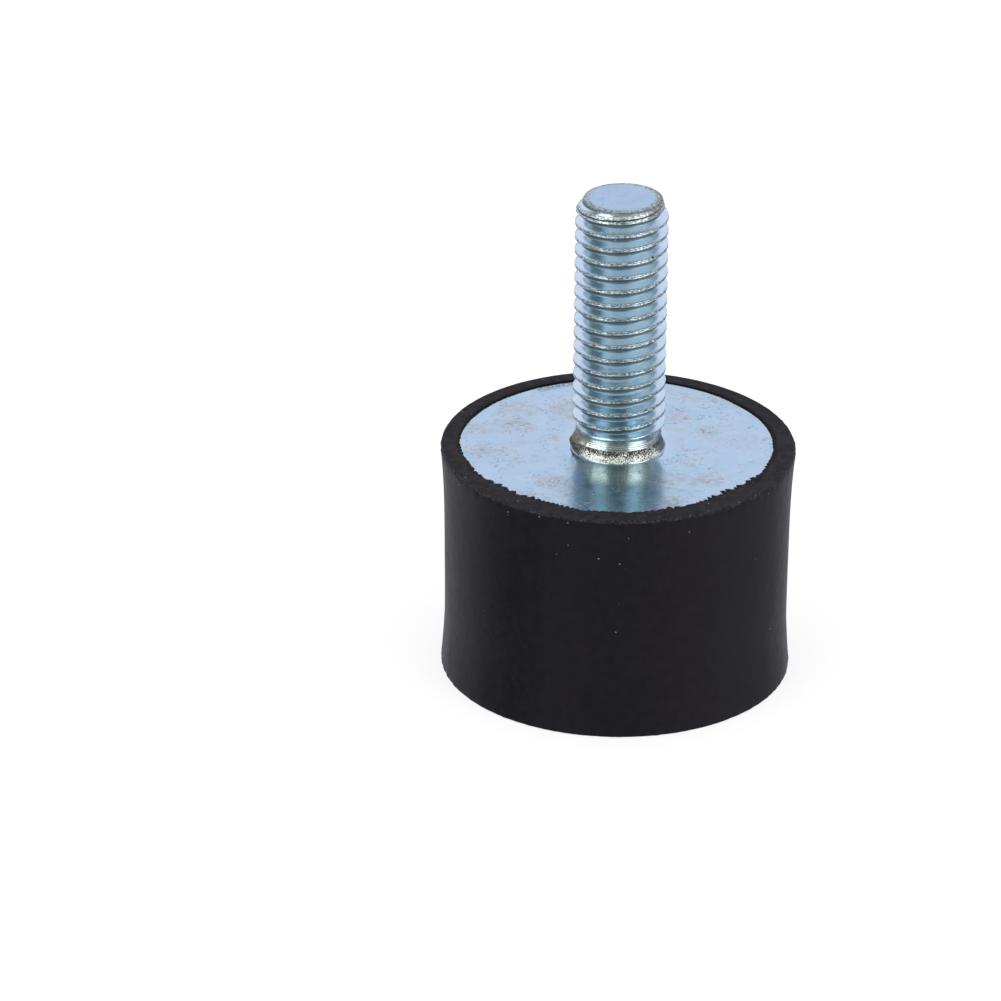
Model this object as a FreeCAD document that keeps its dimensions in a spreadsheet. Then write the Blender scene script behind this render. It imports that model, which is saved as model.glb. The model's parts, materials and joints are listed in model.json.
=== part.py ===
# Rubber bobbin vibration mount, 30 x 20 mm, with a metric stud at one end and a threaded hole
# at the other. Three pieces: a moulded rubber body and two steel end plates bonded into it.
# Origin at the centre of the lower end face, +Z along the stud, millimetres.
import FreeCAD, Part
import os

import Sketcher

doc = FreeCAD.newDocument("bobbin_mount")

# Driving sizes, one row each: alias, value, meaning
sizes = [
    ("rim_diameter", 30.0, "outer diameter of the rubber at its two rims"),
    ("body_height", 20.0, "height of the rubber, end face to end face"),
    ("waist_depth", 0.4, "how far the flank is drawn in from the rims"),
    ("flare_height", 5.0, "height over which each rim flares out of the flank"),
    ("rim_break", 0.3, "broken outer edge of each rim"),
    ("rim_cover", 1.5, "width of the rubber ring round each plate"),
    ("plate_thickness", 2.0, "thickness of both steel plates"),
    ("thread_diameter", 8.0, "nominal diameter of both threads"),
    ("thread_pitch", 1.25, "pitch of both threads"),
    ("crest_allowance", 0.2, "how far the rolled crests stay under the nominal diameter"),
    ("stud_length", 22.7, "from the upper plate's face to the tip"),
    ("tip_chamfer_height", 0.8, "height of the chamfer at the stud's tip"),
    ("foot_height", 1.2, "height of the hollow foot where the stud grows out of its plate"),
    ("foot_width", 0.6, "how far the foot spreads out on the plate"),
    ("neck_height", 1.7, "plain neck under the thread, measured from the plate"),
    ("runout_height", 0.5, "height of the thread's run-out above the neck"),
    ("bore_depth", 8.0, "depth of the threaded hole"),
    ("bore_corner", 0.4, "slope round the bottom of the threaded hole"),
    ("barrel_wall", 1.5, "wall of the barrel outside the thread"),
    ("barrel_end_wall", 1.5, "closed end of the barrel"),
    ("barrel_root", 0.8, "slope between the barrel and the back of its plate"),
    ("barrel_nose", 0.8, "slope round the closed end of the barrel"),
    ("mouth_width", 1.7, "width of the dished mouth, across its slope"),
    ("mouth_depth", 1.3, "depth of the dished mouth"),
    ("mouth_radius", 3.6, "radius of the mouth's hollow section"),
]

dims = doc.addObject("Spreadsheet::Sheet", "dims")
for row, (alias, value, meaning) in enumerate(sizes, start=1):
    dims.set(f"A{row}", meaning)
    dims.set(f"B{row}", str(value))
    dims.setAlias(f"B{row}", alias)
doc.recompute()

# Proportions of the metric thread: a diameter of the thread is its nominal diameter less
# one of these numbers times the pitch
pitch_diameter_drop = 0.6495
root_diameter_drop = 1.2269
hole_diameter_drop = 1.0825


def thread_radius(drop):
    """Formula for a radius of the thread that lies under the nominal one."""
    return f"(dims.thread_diameter - {drop} * dims.thread_pitch) / 2"


# Formulas that more than one piece uses
rim_radius = "dims.rim_diameter / 2"
waist_radius = f"{rim_radius} - dims.waist_depth"
plate_radius = f"{rim_radius} - dims.rim_cover"
body_top = "dims.body_height"
upper_plate_back = "dims.body_height - dims.plate_thickness"
lower_plate_back = "dims.plate_thickness"
barrel_radius = "dims.thread_diameter / 2 + dims.barrel_wall"
barrel_end = "dims.bore_depth + dims.barrel_end_wall"


def hollow_arc(start, end, radius):
    """Arc from start to end that bulges to the left of the way there, into the piece."""
    chord = end - start
    rise = radius - (radius**2 - chord.Length**2 / 4) ** 0.5
    across = FreeCAD.Vector(-chord.y, chord.x, 0).normalize()
    return Part.Arc(start, (start + end) / 2 + across * rise, end)


def tie_point(sketch, geometry, end, radius, height):
    """Tie one end of a side to its radius and height, given as formulas."""
    for formula, kind, axis in ((radius, "DistanceX", -2), (height, "DistanceY", -1)):
        if formula == "0":
            sketch.addConstraint(Sketcher.Constraint("PointOnObject", geometry, end, axis))
            continue
        value = float(sketch.evalExpression(formula))
        index = sketch.addConstraint(Sketcher.Constraint(kind, -1, 1, geometry, end, value))
        sketch.setExpression(f"Constraints[{index}]", formula)


def draw_section(body, name, corners):
    """Closed half section on the body's XZ plane, its corners listed anticlockwise.

    A corner is (radius formula, height formula), and a third formula makes the side that
    leaves it a hollow arc of that radius. The sketch's x is the radius and its y the height.
    """
    plane = next(item for item in body.Origin.OriginFeatures if item.Role == "XZ_Plane")
    sketch = body.newObject("Sketcher::SketchObject", name)
    sketch.AttachmentSupport = [(plane, "")]
    sketch.MapMode = "FlatFace"
    doc.recompute()

    points = []
    for corner in corners:
        across = float(sketch.evalExpression(corner[0]))
        up = float(sketch.evalExpression(corner[1]))
        points.append(FreeCAD.Vector(across, up, 0))

    sides = []
    for number, corner in enumerate(corners):
        start = points[number]
        end = points[(number + 1) % len(points)]
        if len(corner) == 2:
            geometry = sketch.addGeometry(Part.LineSegment(start, end), False)
            sides.append((geometry, 1, 2))
            continue
        radius = float(sketch.evalExpression(corner[2]))
        geometry = sketch.addGeometry(hollow_arc(start, end, radius), False)
        # A sketch keeps every arc anticlockwise, so a hollow one ends where it was started
        sides.append((geometry, 2, 1))
        index = sketch.addConstraint(Sketcher.Constraint("Radius", geometry, radius))
        sketch.setExpression(f"Constraints[{index}]", corner[2])

    for number, corner in enumerate(corners):
        geometry, first, _ = sides[number]
        before, _, last = sides[number - 1]
        sketch.addConstraint(Sketcher.Constraint("Coincident", before, last, geometry, first))
        tie_point(sketch, geometry, first, corner[0], corner[1])
    doc.recompute()
    return sketch


def turned_piece(name, corners):
    """A piece that is its half section turned once round the Z axis."""
    body = doc.addObject("PartDesign::Body", name)
    body.Label = name
    section = draw_section(body, f"{name}_section", corners)
    turn = body.newObject("PartDesign::Revolution", f"{name}_turn")
    turn.Profile = section
    turn.ReferenceAxis = (section, ["V_Axis"])
    turn.Angle = 360.0
    section.Visibility = False
    body.Placement = FreeCAD.Placement()
    doc.recompute()
    return body


# Outline that the threaded plate and its seat in the rubber share, from the edge of the
# plate's face over its back and up the barrel to the axis
barrel_outline = [
    (plate_radius, "0"),
    (plate_radius, lower_plate_back),
    (f"{barrel_radius} + dims.barrel_root", lower_plate_back),
    (barrel_radius, f"{lower_plate_back} + dims.barrel_root"),
    (barrel_radius, f"{barrel_end} - dims.barrel_nose"),
    (f"{barrel_radius} - dims.barrel_nose", barrel_end),
    ("0", barrel_end),
]

# Outline that the stud plate and its seat share, from the axis over the plate's back to the
# edge of its face
upper_outline = [
    ("0", upper_plate_back),
    (plate_radius, upper_plate_back),
    (plate_radius, body_top),
]

# Moulded body: the flank is straight at the waist and flares to both rims in long arcs that
# start along the flank, and the inside takes both plates face to face, because the rubber is
# moulded round them
flare_rise = "dims.flare_height - dims.rim_break"
flare_radius = f"(dims.waist_depth ^ 2 + ({flare_rise}) ^ 2) / (2 * dims.waist_depth)"
rubber_body = turned_piece(
    "rubber_body",
    barrel_outline[::-1]
    + [
        (f"{rim_radius} - dims.rim_break", "0"),
        (rim_radius, "dims.rim_break", flare_radius),
        (waist_radius, "dims.flare_height"),
        (waist_radius, f"{body_top} - dims.flare_height", flare_radius),
        (rim_radius, f"{body_top} - dims.rim_break"),
        (f"{rim_radius} - dims.rim_break", body_top),
    ]
    + upper_outline[::-1],
)

# Stud plate: disc and stud are one headed blank, with a tall hollow foot that runs into the
# neck, a plain neck at the rolling diameter, the threaded length at its crest diameter and a
# chamfered tip
foot_radius = "(dims.foot_width ^ 2 + dims.foot_height ^ 2) / (2 * dims.foot_width)"
neck_radius = thread_radius(pitch_diameter_drop)
crest_radius = "(dims.thread_diameter - dims.crest_allowance) / 2"
neck_top = f"{body_top} + dims.neck_height"
stud_top = f"{body_top} + dims.stud_length"
stud_plate = turned_piece(
    "stud_plate",
    upper_outline
    + [
        (f"{neck_radius} + dims.foot_width", body_top, foot_radius),
        (neck_radius, f"{body_top} + dims.foot_height"),
        (neck_radius, neck_top),
        (crest_radius, f"{neck_top} + dims.runout_height"),
        (crest_radius, f"{stud_top} - dims.tip_chamfer_height"),
        (thread_radius(root_diameter_drop), stud_top),
        ("0", stud_top),
    ],
)

# Threaded plate: disc and blind barrel are one drawn piece, and its face dips into the
# threaded hole through a dished mouth
bore_radius = thread_radius(hole_diameter_drop)
threaded_plate = turned_piece(
    "threaded_plate",
    [(f"{bore_radius} + dims.mouth_width", "0")]
    + barrel_outline
    + [
        ("0", "dims.bore_depth"),
        (f"{bore_radius} - dims.bore_corner", "dims.bore_depth"),
        (bore_radius, "dims.bore_depth - dims.bore_corner"),
        (bore_radius, "dims.mouth_depth", "dims.mouth_radius"),
    ],
)

pieces = [rubber_body, stud_plate, threaded_plate]

for item in doc.Objects:
    if "Invalid" in item.State or "Error" in item.State:
        raise RuntimeError(f"{item.Label} failed: {item.State}")
for piece in pieces:
    if piece.Shape.isNull() or not piece.Shape.isValid() or len(piece.Shape.Solids) != 1:
        raise RuntimeError(f"{piece.Label} isn't one valid solid")

os.makedirs("parts", exist_ok=True)
for piece in pieces:
    piece.Shape.exportStep(f"parts/{piece.Label}.step")
    print(f"{piece.Label}: {piece.Shape.Volume:.1f} mm3")
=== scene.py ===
import json
import math

import bmesh
import bpy
import numpy as np
from mathutils import Matrix, Vector


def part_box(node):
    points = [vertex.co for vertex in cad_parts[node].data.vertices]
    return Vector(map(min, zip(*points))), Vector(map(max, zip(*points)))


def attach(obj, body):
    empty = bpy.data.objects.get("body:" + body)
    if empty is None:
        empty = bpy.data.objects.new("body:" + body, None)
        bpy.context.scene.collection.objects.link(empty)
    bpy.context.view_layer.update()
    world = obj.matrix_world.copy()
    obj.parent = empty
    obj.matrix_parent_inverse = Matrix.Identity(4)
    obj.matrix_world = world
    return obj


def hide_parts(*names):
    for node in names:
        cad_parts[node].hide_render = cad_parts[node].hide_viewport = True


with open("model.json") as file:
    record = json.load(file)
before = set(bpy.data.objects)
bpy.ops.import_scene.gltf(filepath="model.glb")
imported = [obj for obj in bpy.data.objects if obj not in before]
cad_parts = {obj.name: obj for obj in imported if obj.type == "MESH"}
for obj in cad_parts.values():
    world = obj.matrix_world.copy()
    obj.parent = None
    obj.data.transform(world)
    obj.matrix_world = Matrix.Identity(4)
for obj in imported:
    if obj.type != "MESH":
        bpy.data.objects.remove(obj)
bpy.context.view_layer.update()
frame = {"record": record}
print("solids loaded")

# Shapes are worked out in millimetres on grids of rows and columns round the axis, and turned
# into metres when a mesh is made.
mm = 0.001
turn = 2 * math.pi


def boxOf(node):  # lowest and highest corner of a solid, in millimetres
    low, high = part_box(node)
    return np.array(low) / mm, np.array(high) / mm


_, rubberHigh = boxOf("rubber_body")
studLow, studHigh = boxOf("stud_plate")
_, barrelHigh = boxOf("threaded_plate")
mounts = {mount["name"]: mount for mount in frame["record"]["mounts"]}

bodyTop = rubberHigh[2]
rimRadius = rubberHigh[0]
plateRadius = studHigh[0]
plateThickness = bodyTop - studLow[2]
studTop = studHigh[2]
barrelTop = barrelHigh[2]
crestRadius = mounts["stud"]["dims"]["r_mm"]
boreRadius = mounts["threaded_hole"]["dims"]["r_mm"]

thread = {
    "diameter": 8.0,
    "pitch": 1.25,
    "pitchDrop": 0.6495,  # diameters lie this many pitches under the nominal one
    "rootDrop": 1.2269,
    "flankSlope": math.sqrt(3),  # radius over height on a 60 degree thread
    "crowding": 0.5,  # share by which the rows crowd towards the crest
}
steel = {
    "edgeBreak": 0.1,  # at the edges of both plates' faces
    "barrelRadius": 5.5,
    "barrelSlope": 0.8,  # width and height of its corners, at the plate and at the closed end
    "sharpAngle": 50,  # edges sharper than this stay sharp
}
pitch = thread["pitch"]
pitchRadius = (thread["diameter"] - thread["pitchDrop"] * pitch) / 2
rootRadius = (thread["diameter"] - thread["rootDrop"] * pitch) / 2


# Surfaces on grids


def softMin(a, b, width):  # the smaller of two values, rounded over about this width
    return -width * np.logaddexp(-a / width, -b / width)


def softMax(a, b, width):
    return width * np.logaddexp(a / width, b / width)


def easeIn(value, low, high):  # 0 below low, 1 above high, and 3t^2 - 2t^3 between them
    t = np.clip((value - low) / (high - low), 0, 1)
    return t * t * (3 - 2 * t)


def anglesOf(columns):
    return np.arange(columns) * turn / columns


def wander(angle, waves, seed):
    # sum of cosines with whole numbers of waves round the axis, mostly between -1 and 1
    chance = np.random.default_rng(seed)
    phase = chance.uniform(0, turn, len(waves))
    strength = chance.uniform(0.4, 1, len(waves))
    total = (strength[:, None] * np.cos(np.outer(waves, angle) + phase[:, None])).sum(0)
    return total / np.linalg.norm(strength)


def tornLine(angle, knots, seed):
    # random heights from 0 to 1, more low ones, at uneven angles, joined by straight lines
    chance = np.random.default_rng(seed)
    places = np.sort(chance.uniform(0, turn, knots))
    return np.interp(angle, places, chance.uniform(0, 1, knots) ** 1.6, period=turn)


def roughLine(position, spacing, seed):
    # random heights from -1 to 1 at even spacing along a line, joined by straight lines
    knots = np.arange(math.ceil(position.max() / spacing) + 2)
    heights = np.random.default_rng(seed).uniform(-1, 1, len(knots))
    return np.interp(position / spacing, knots, heights)


def degreesFrom(place, angle):  # distance round the axis, between -180 and 180
    return (np.degrees(angle) - place + 180) % 360 - 180


def lumps(angle, places, widths, heights):
    # sum of bells round the axis: height * exp(-(angle distance / width)^2), in degrees
    away = degreesFrom(np.array(places), angle[:, None])
    return (np.array(heights) * np.exp(-((away / np.array(widths)) ** 2))).sum(1)


def roundGrid(angle, radius, height, lead=0):
    # x = radius cos(angle), y = radius sin(angle), z = height, one row for each radius and
    # height; where lead isn't 0, the last column meets the first one that many rows further on
    columns = len(angle)
    radius = np.broadcast_to(radius, (len(radius), columns))
    height = np.broadcast_to(height, (len(height), columns))
    points = np.stack([radius * np.cos(angle), radius * np.sin(angle), height], -1)
    rows = len(radius)
    row, column = np.meshgrid(np.arange(rows - 1), np.arange(columns), indexing="ij")
    beside = (column + 1) % columns
    lift = np.where(beside == 0, lead, 0)
    corners = [(row, column), (row + lift, beside), (row + 1 + lift, beside), (row + 1, column)]
    quads = np.stack([line * columns + place for line, place in corners], -1)
    return points.reshape(-1, 3), quads[row + 1 + lift < rows]


def helixRows(bottom, top, crestOnRight, rowsPerPitch, columns):
    # rows that climb with the thread and crowd towards its crest: height = start + pitch *
    # (whole turns + share - crowding * sin(share) + angle / turn), kept between bottom and top;
    # fromCrest is the height over the nearest crest, and travel counts turns along the helix
    start = crestOnRight + pitch * (math.floor((bottom - crestOnRight) / pitch) - 1)
    rows = rowsPerPitch * (math.ceil((top - start) / pitch) + 2)
    around = anglesOf(columns) / turn
    steps = np.arange(rows)[:, None] / rowsPerPitch
    crowded = steps - thread["crowding"] * np.sin(steps * turn) / turn
    height = np.clip(start + pitch * (crowded + around), bottom, top)
    travel = (height - start) / pitch
    fromCrest = pitch * ((travel - around + 0.5) % 1 - 0.5)
    return height, fromCrest, travel


def sweepRows(*corners):  # radius and height of plain rows, each as a column of numbers
    rows = np.array(corners, float)
    return rows[:, :1], rows[:, 1:]


def barrelCorners():
    # radius and height along the back of the threaded plate and over its barrel to the axis
    wall, slope = steel["barrelRadius"], steel["barrelSlope"]
    return [
        (plateRadius, plateThickness),
        (wall + slope, plateThickness),
        (wall, plateThickness + slope),
        (wall, barrelTop - slope),
        (wall - slope, barrelTop),
        (0, barrelTop),
    ]


mergeDistance = 0.0008  # points of neighbouring grids that are nearer than this are one


def makePiece(name, node, grids, finish, sharpAngle):
    # one closed mesh from several grids, smooth but for edges sharper than the angle
    points = np.concatenate([grid[0] for grid in grids]) * mm
    starts = np.cumsum([0] + [len(grid[0]) for grid in grids[:-1]])
    quads = np.concatenate([grid[1] + start for grid, start in zip(grids, starts)])
    mesh = bpy.data.meshes.new(name)
    mesh.from_pydata(points.tolist(), [], quads.tolist())
    work = bmesh.new()
    work.from_mesh(mesh)
    bmesh.ops.remove_doubles(work, verts=work.verts, dist=mergeDistance * mm)
    bmesh.ops.recalc_face_normals(work, faces=work.faces)
    work.to_mesh(mesh)
    work.free()
    mesh.polygons.foreach_set("use_smooth", np.ones(len(mesh.polygons), bool))
    mesh.set_sharp_from_angle(angle=math.radians(sharpAngle))
    mesh.materials.append(finish)
    piece = bpy.data.objects.new(name, mesh)
    bpy.context.scene.collection.objects.link(piece)
    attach(piece, "root")
    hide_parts(node)
    print(f"{name}: {len(mesh.polygons)} faces")


# Finishes


class Wiring:  # one node tree, and the few kinds of node that everything here is made of
    def __init__(self, tree):
        self.tree = tree
        self.tree.nodes.clear()

    def add(self, kind, inputs=None, **settings):
        made = self.tree.nodes.new(kind)
        for key, value in settings.items():
            setattr(made, key, value)
        for key, value in (inputs or {}).items():
            if isinstance(value, bpy.types.NodeSocket):
                self.tree.links.new(value, made.inputs[key])
            else:
                made.inputs[key].default_value = value
        return made

    def calc(self, operation, a, b=0.0):
        return self.add("ShaderNodeMath", {0: a, 1: b}, operation=operation).outputs[0]

    def product(self, first, *others):
        for other in others:
            first = self.calc("MULTIPLY", first, other)
        return first

    def most(self, first, *others):
        for other in others:
            first = self.calc("MAXIMUM", first, other)
        return first

    def span(self, value, low, high, outLow=0.0, outHigh=1.0):  # eased, low may be over high
        ranges = {"Value": value, 1: low, 2: high, 3: outLow, 4: outHigh}
        return self.add("ShaderNodeMapRange", ranges, interpolation_type="SMOOTHSTEP").outputs[0]

    def between(self, share, plain, other):  # numbers: plain + share * (other - plain)
        step = self.product(self.calc("SUBTRACT", other, plain), share)
        return self.calc("ADD", plain, step)

    def blend(self, share, plain, other):  # colours
        made = self.add("ShaderNodeMix", data_type="RGBA")
        for name, value in (("Factor", share), ("A", plain), ("B", other)):
            socket = [s for s in made.inputs if s.name == name and s.enabled][0]
            if isinstance(value, bpy.types.NodeSocket):
                self.tree.links.new(value, socket)
            else:
                socket.default_value = value if name == "Factor" else (*value, 1)
        return [s for s in made.outputs if s.name == "Result" and s.enabled][0]


class Finish(Wiring):
    # one material, which keeps its colour, roughness and relief so far; places, sizes and
    # depths are in millimetres
    def __init__(self, name):
        self.material = bpy.data.materials.new(name)
        self.material.use_nodes = True
        super().__init__(self.material.node_tree)
        place = self.add("ShaderNodeTexCoord").outputs["Object"]
        scaled = self.add("ShaderNodeVectorMath", {0: place, "Scale": 1 / mm}, operation="SCALE")
        self.place = scaled.outputs[0]
        self.x, self.y, self.z = self.add("ShaderNodeSeparateXYZ", {0: self.place}).outputs
        flat = self.add("ShaderNodeCombineXYZ", {0: self.x, 1: self.y}).outputs[0]
        self.radius = self.add("ShaderNodeVectorMath", {0: flat}, operation="LENGTH").outputs[1]
        self.relief = None

    def stretched(self, across, along, up):  # coordinates multiplied axis by axis
        factors = {0: self.place, 1: (across, along, up)}
        return self.add("ShaderNodeVectorMath", factors, operation="MULTIPLY").outputs[0]

    def warped(self, place, scale):  # coordinates pushed about by a slow noise
        push = self.add("ShaderNodeTexNoise", {"Vector": self.place, "Scale": scale}).outputs[1]
        return self.add("ShaderNodeVectorMath", {0: place, 1: push}, operation="ADD").outputs[0]

    def grain(self, perMillimetre, detail=3.0, distortion=0.0, place=None):
        inputs = {"Vector": place or self.place, "Scale": perMillimetre, "Detail": detail}
        inputs["Distortion"] = distortion
        return self.add("ShaderNodeTexNoise", inputs).outputs[0]

    def specks(self, perMillimetre, size, share):
        # round dots, one in each random cell, kept in this share of the cells
        inputs = {"Vector": self.place, "Scale": perMillimetre}
        cells = self.add("ShaderNodeTexVoronoi", inputs)
        chance = self.add("ShaderNodeSeparateColor", {0: cells.outputs["Color"]}).outputs[0]
        dot = self.span(cells.outputs["Distance"], size * 1.2, size * 0.6)
        return self.product(dot, self.calc("LESS_THAN", chance, share))

    def ball(self, centre, size, edge, fur=0.0):
        # 1 inside a ball round a point, fading over the edge, with the edge broken by grain
        inputs = {0: self.place, 1: tuple(centre)}
        away = self.add("ShaderNodeVectorMath", inputs, operation="DISTANCE").outputs[1]
        if fur:
            ragged = self.product(self.calc("SUBTRACT", self.grain(4.0, 5.0, 0.6), 0.5), fur)
            away = self.calc("ADD", away, ragged)
        return self.span(away, size + edge, size - edge)

    def threadPhase(self, crestOnRight):
        # height over the nearest crest in pitches, -0.5 to 0.5, carried along the helix
        around = self.calc("DIVIDE", self.calc("ARCTAN2", self.y, self.x), turn)
        turns = self.calc("DIVIDE", self.calc("SUBTRACT", self.z, crestOnRight), pitch)
        turns = self.calc("ADD", self.calc("SUBTRACT", turns, around), 0.5)
        return self.calc("SUBTRACT", self.calc("FRACT", turns), 0.5)

    def mixed(self, noise, low, high, tones):  # two colours
        return self.blend(self.span(noise, low, high), *tones)

    def paint(self, tone, *masks):  # a colour where all the masks are
        self.colour = self.blend(self.product(*masks), self.colour, tone)

    def roughen(self, *masks):
        self.rough = self.calc("ADD", self.rough, self.product(*masks))

    def emboss(self, height, depth, strength):
        inputs = {"Strength": strength, "Distance": depth * mm, "Height": height}
        if self.relief:
            inputs["Normal"] = self.relief
        self.relief = self.add("ShaderNodeBump", inputs).outputs[0]

    def close(self, inputs):
        layers = {"Base Color": self.colour, "Roughness": self.rough, "Normal": self.relief}
        shader = self.add("ShaderNodeBsdfPrincipled", {**layers, **inputs})
        self.add("ShaderNodeOutputMaterial", {0: shader.outputs[0]})
        return self.material


# Rubber body

rubber = {
    "columns": 900,
    "waistRadius": 14.57,
    "upperSwell": 0.06,  # the upper half is this much wider than the lower half
    "swellHeights": (5, 12.5),  # and widens between these heights
    "topFlare": 9.7,  # height over which the upper rim flares,
    "topGrowth": 0.36,  # how far
    "topPower": 3,  # and the power of its curve
    "bottomFlare": 4.6,
    "bottomGrowth": 0.31,
    "bottomPower": 1.4,
    "sharpAngle": 38,
    "flankRows": 42,
    "flankWander": 0.012,
    "flankJoin": 0.6,  # height over which the flank runs into each worn rim
    "rimInset": 0.02,  # the rims stay this far inside the solid's
    "rimRound": 0.11,  # radius of the rims' outer edges
    "rimRows": 9,
    "rimWear": 0.026,
    "rimLumps": (  # degrees round the axis, widths in degrees, heights
        (4, 16, 31, 338, 152, 205),
        (1.6, 1.1, 1.4, 2.0, 1.5, 2.2),
        (0.05, 0.03, 0.05, 0.03, 0.03, 0.04),
    ),
    "ringRows": 14,
    "ringSwell": 0.012,
    "lowerRise": 0.9,  # the lower ring's rise as a share of the upper one's
    "flashCover": 0.04,  # width of the thin torn skin over the plate's edge,
    "flashCoverFront": 0.42,  # how much wider it is in front,
    "flashCoverRight": ((8,), (48,), (0.30,)),  # and on the right: degrees, width, by how much
    "flashLeast": 0.03,
    "flashWander": (0.04, 0.09),  # slow waves of its edge, at the back and more in front
    "flashTeeth": 0.34,
    "teethLength": (0.10, 0.25),  # share of that all round, and more in front
    "teethSides": ((222, 312), (34, 30), (0.7, 0.8)),  # and most here: degrees, widths, shares
    "flashLip": 0.03,  # its edge slopes over this width
    "flashThickness": 0.085,
    "flashThinning": (0.35, 0.72, 0.9),  # shares of that in the rows next to its edge
    "gap": 0.004,  # between the skin's underside and the plate
    "flankTones": ((0.0047, 0.0042, 0.0070), (0.0071, 0.0064, 0.0100)),
    "ringTones": ((0.0062, 0.0062, 0.0075), (0.0200, 0.0195, 0.0225)),
    "ringDepth": (0.16, 0.02),  # the rings' tones fade in between these depths
    "dustTone": (0.34, 0.34, 0.34),
    "dustShare": 0.62,
    "dust": (0.62, 0.045, 0.25),  # dots to a millimetre, their size and the share kept
    "upperDust": (1.2, 0.085, 0.26),
    "pitTone": (0.002, 0.002, 0.002),
    "pitShare": 0.7,
    "pits": (0.8, 0.06, 0.3),
    "powderTone": (0.066, 0.064, 0.070),
    "tornTone": (0.0006, 0.0006, 0.0008),
    "roughness": (0.40, 0.48),
    "ringRoughness": 0.32,  # more on the rings
    "specular": 0.13,
    "specularTint": (1.0, 0.92, 1.0, 1),
    "sheen": 0.13,
    "sheenRoughness": 0.35,
    "sheenTint": (0.94, 0.84, 1.0, 1),
}


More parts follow.
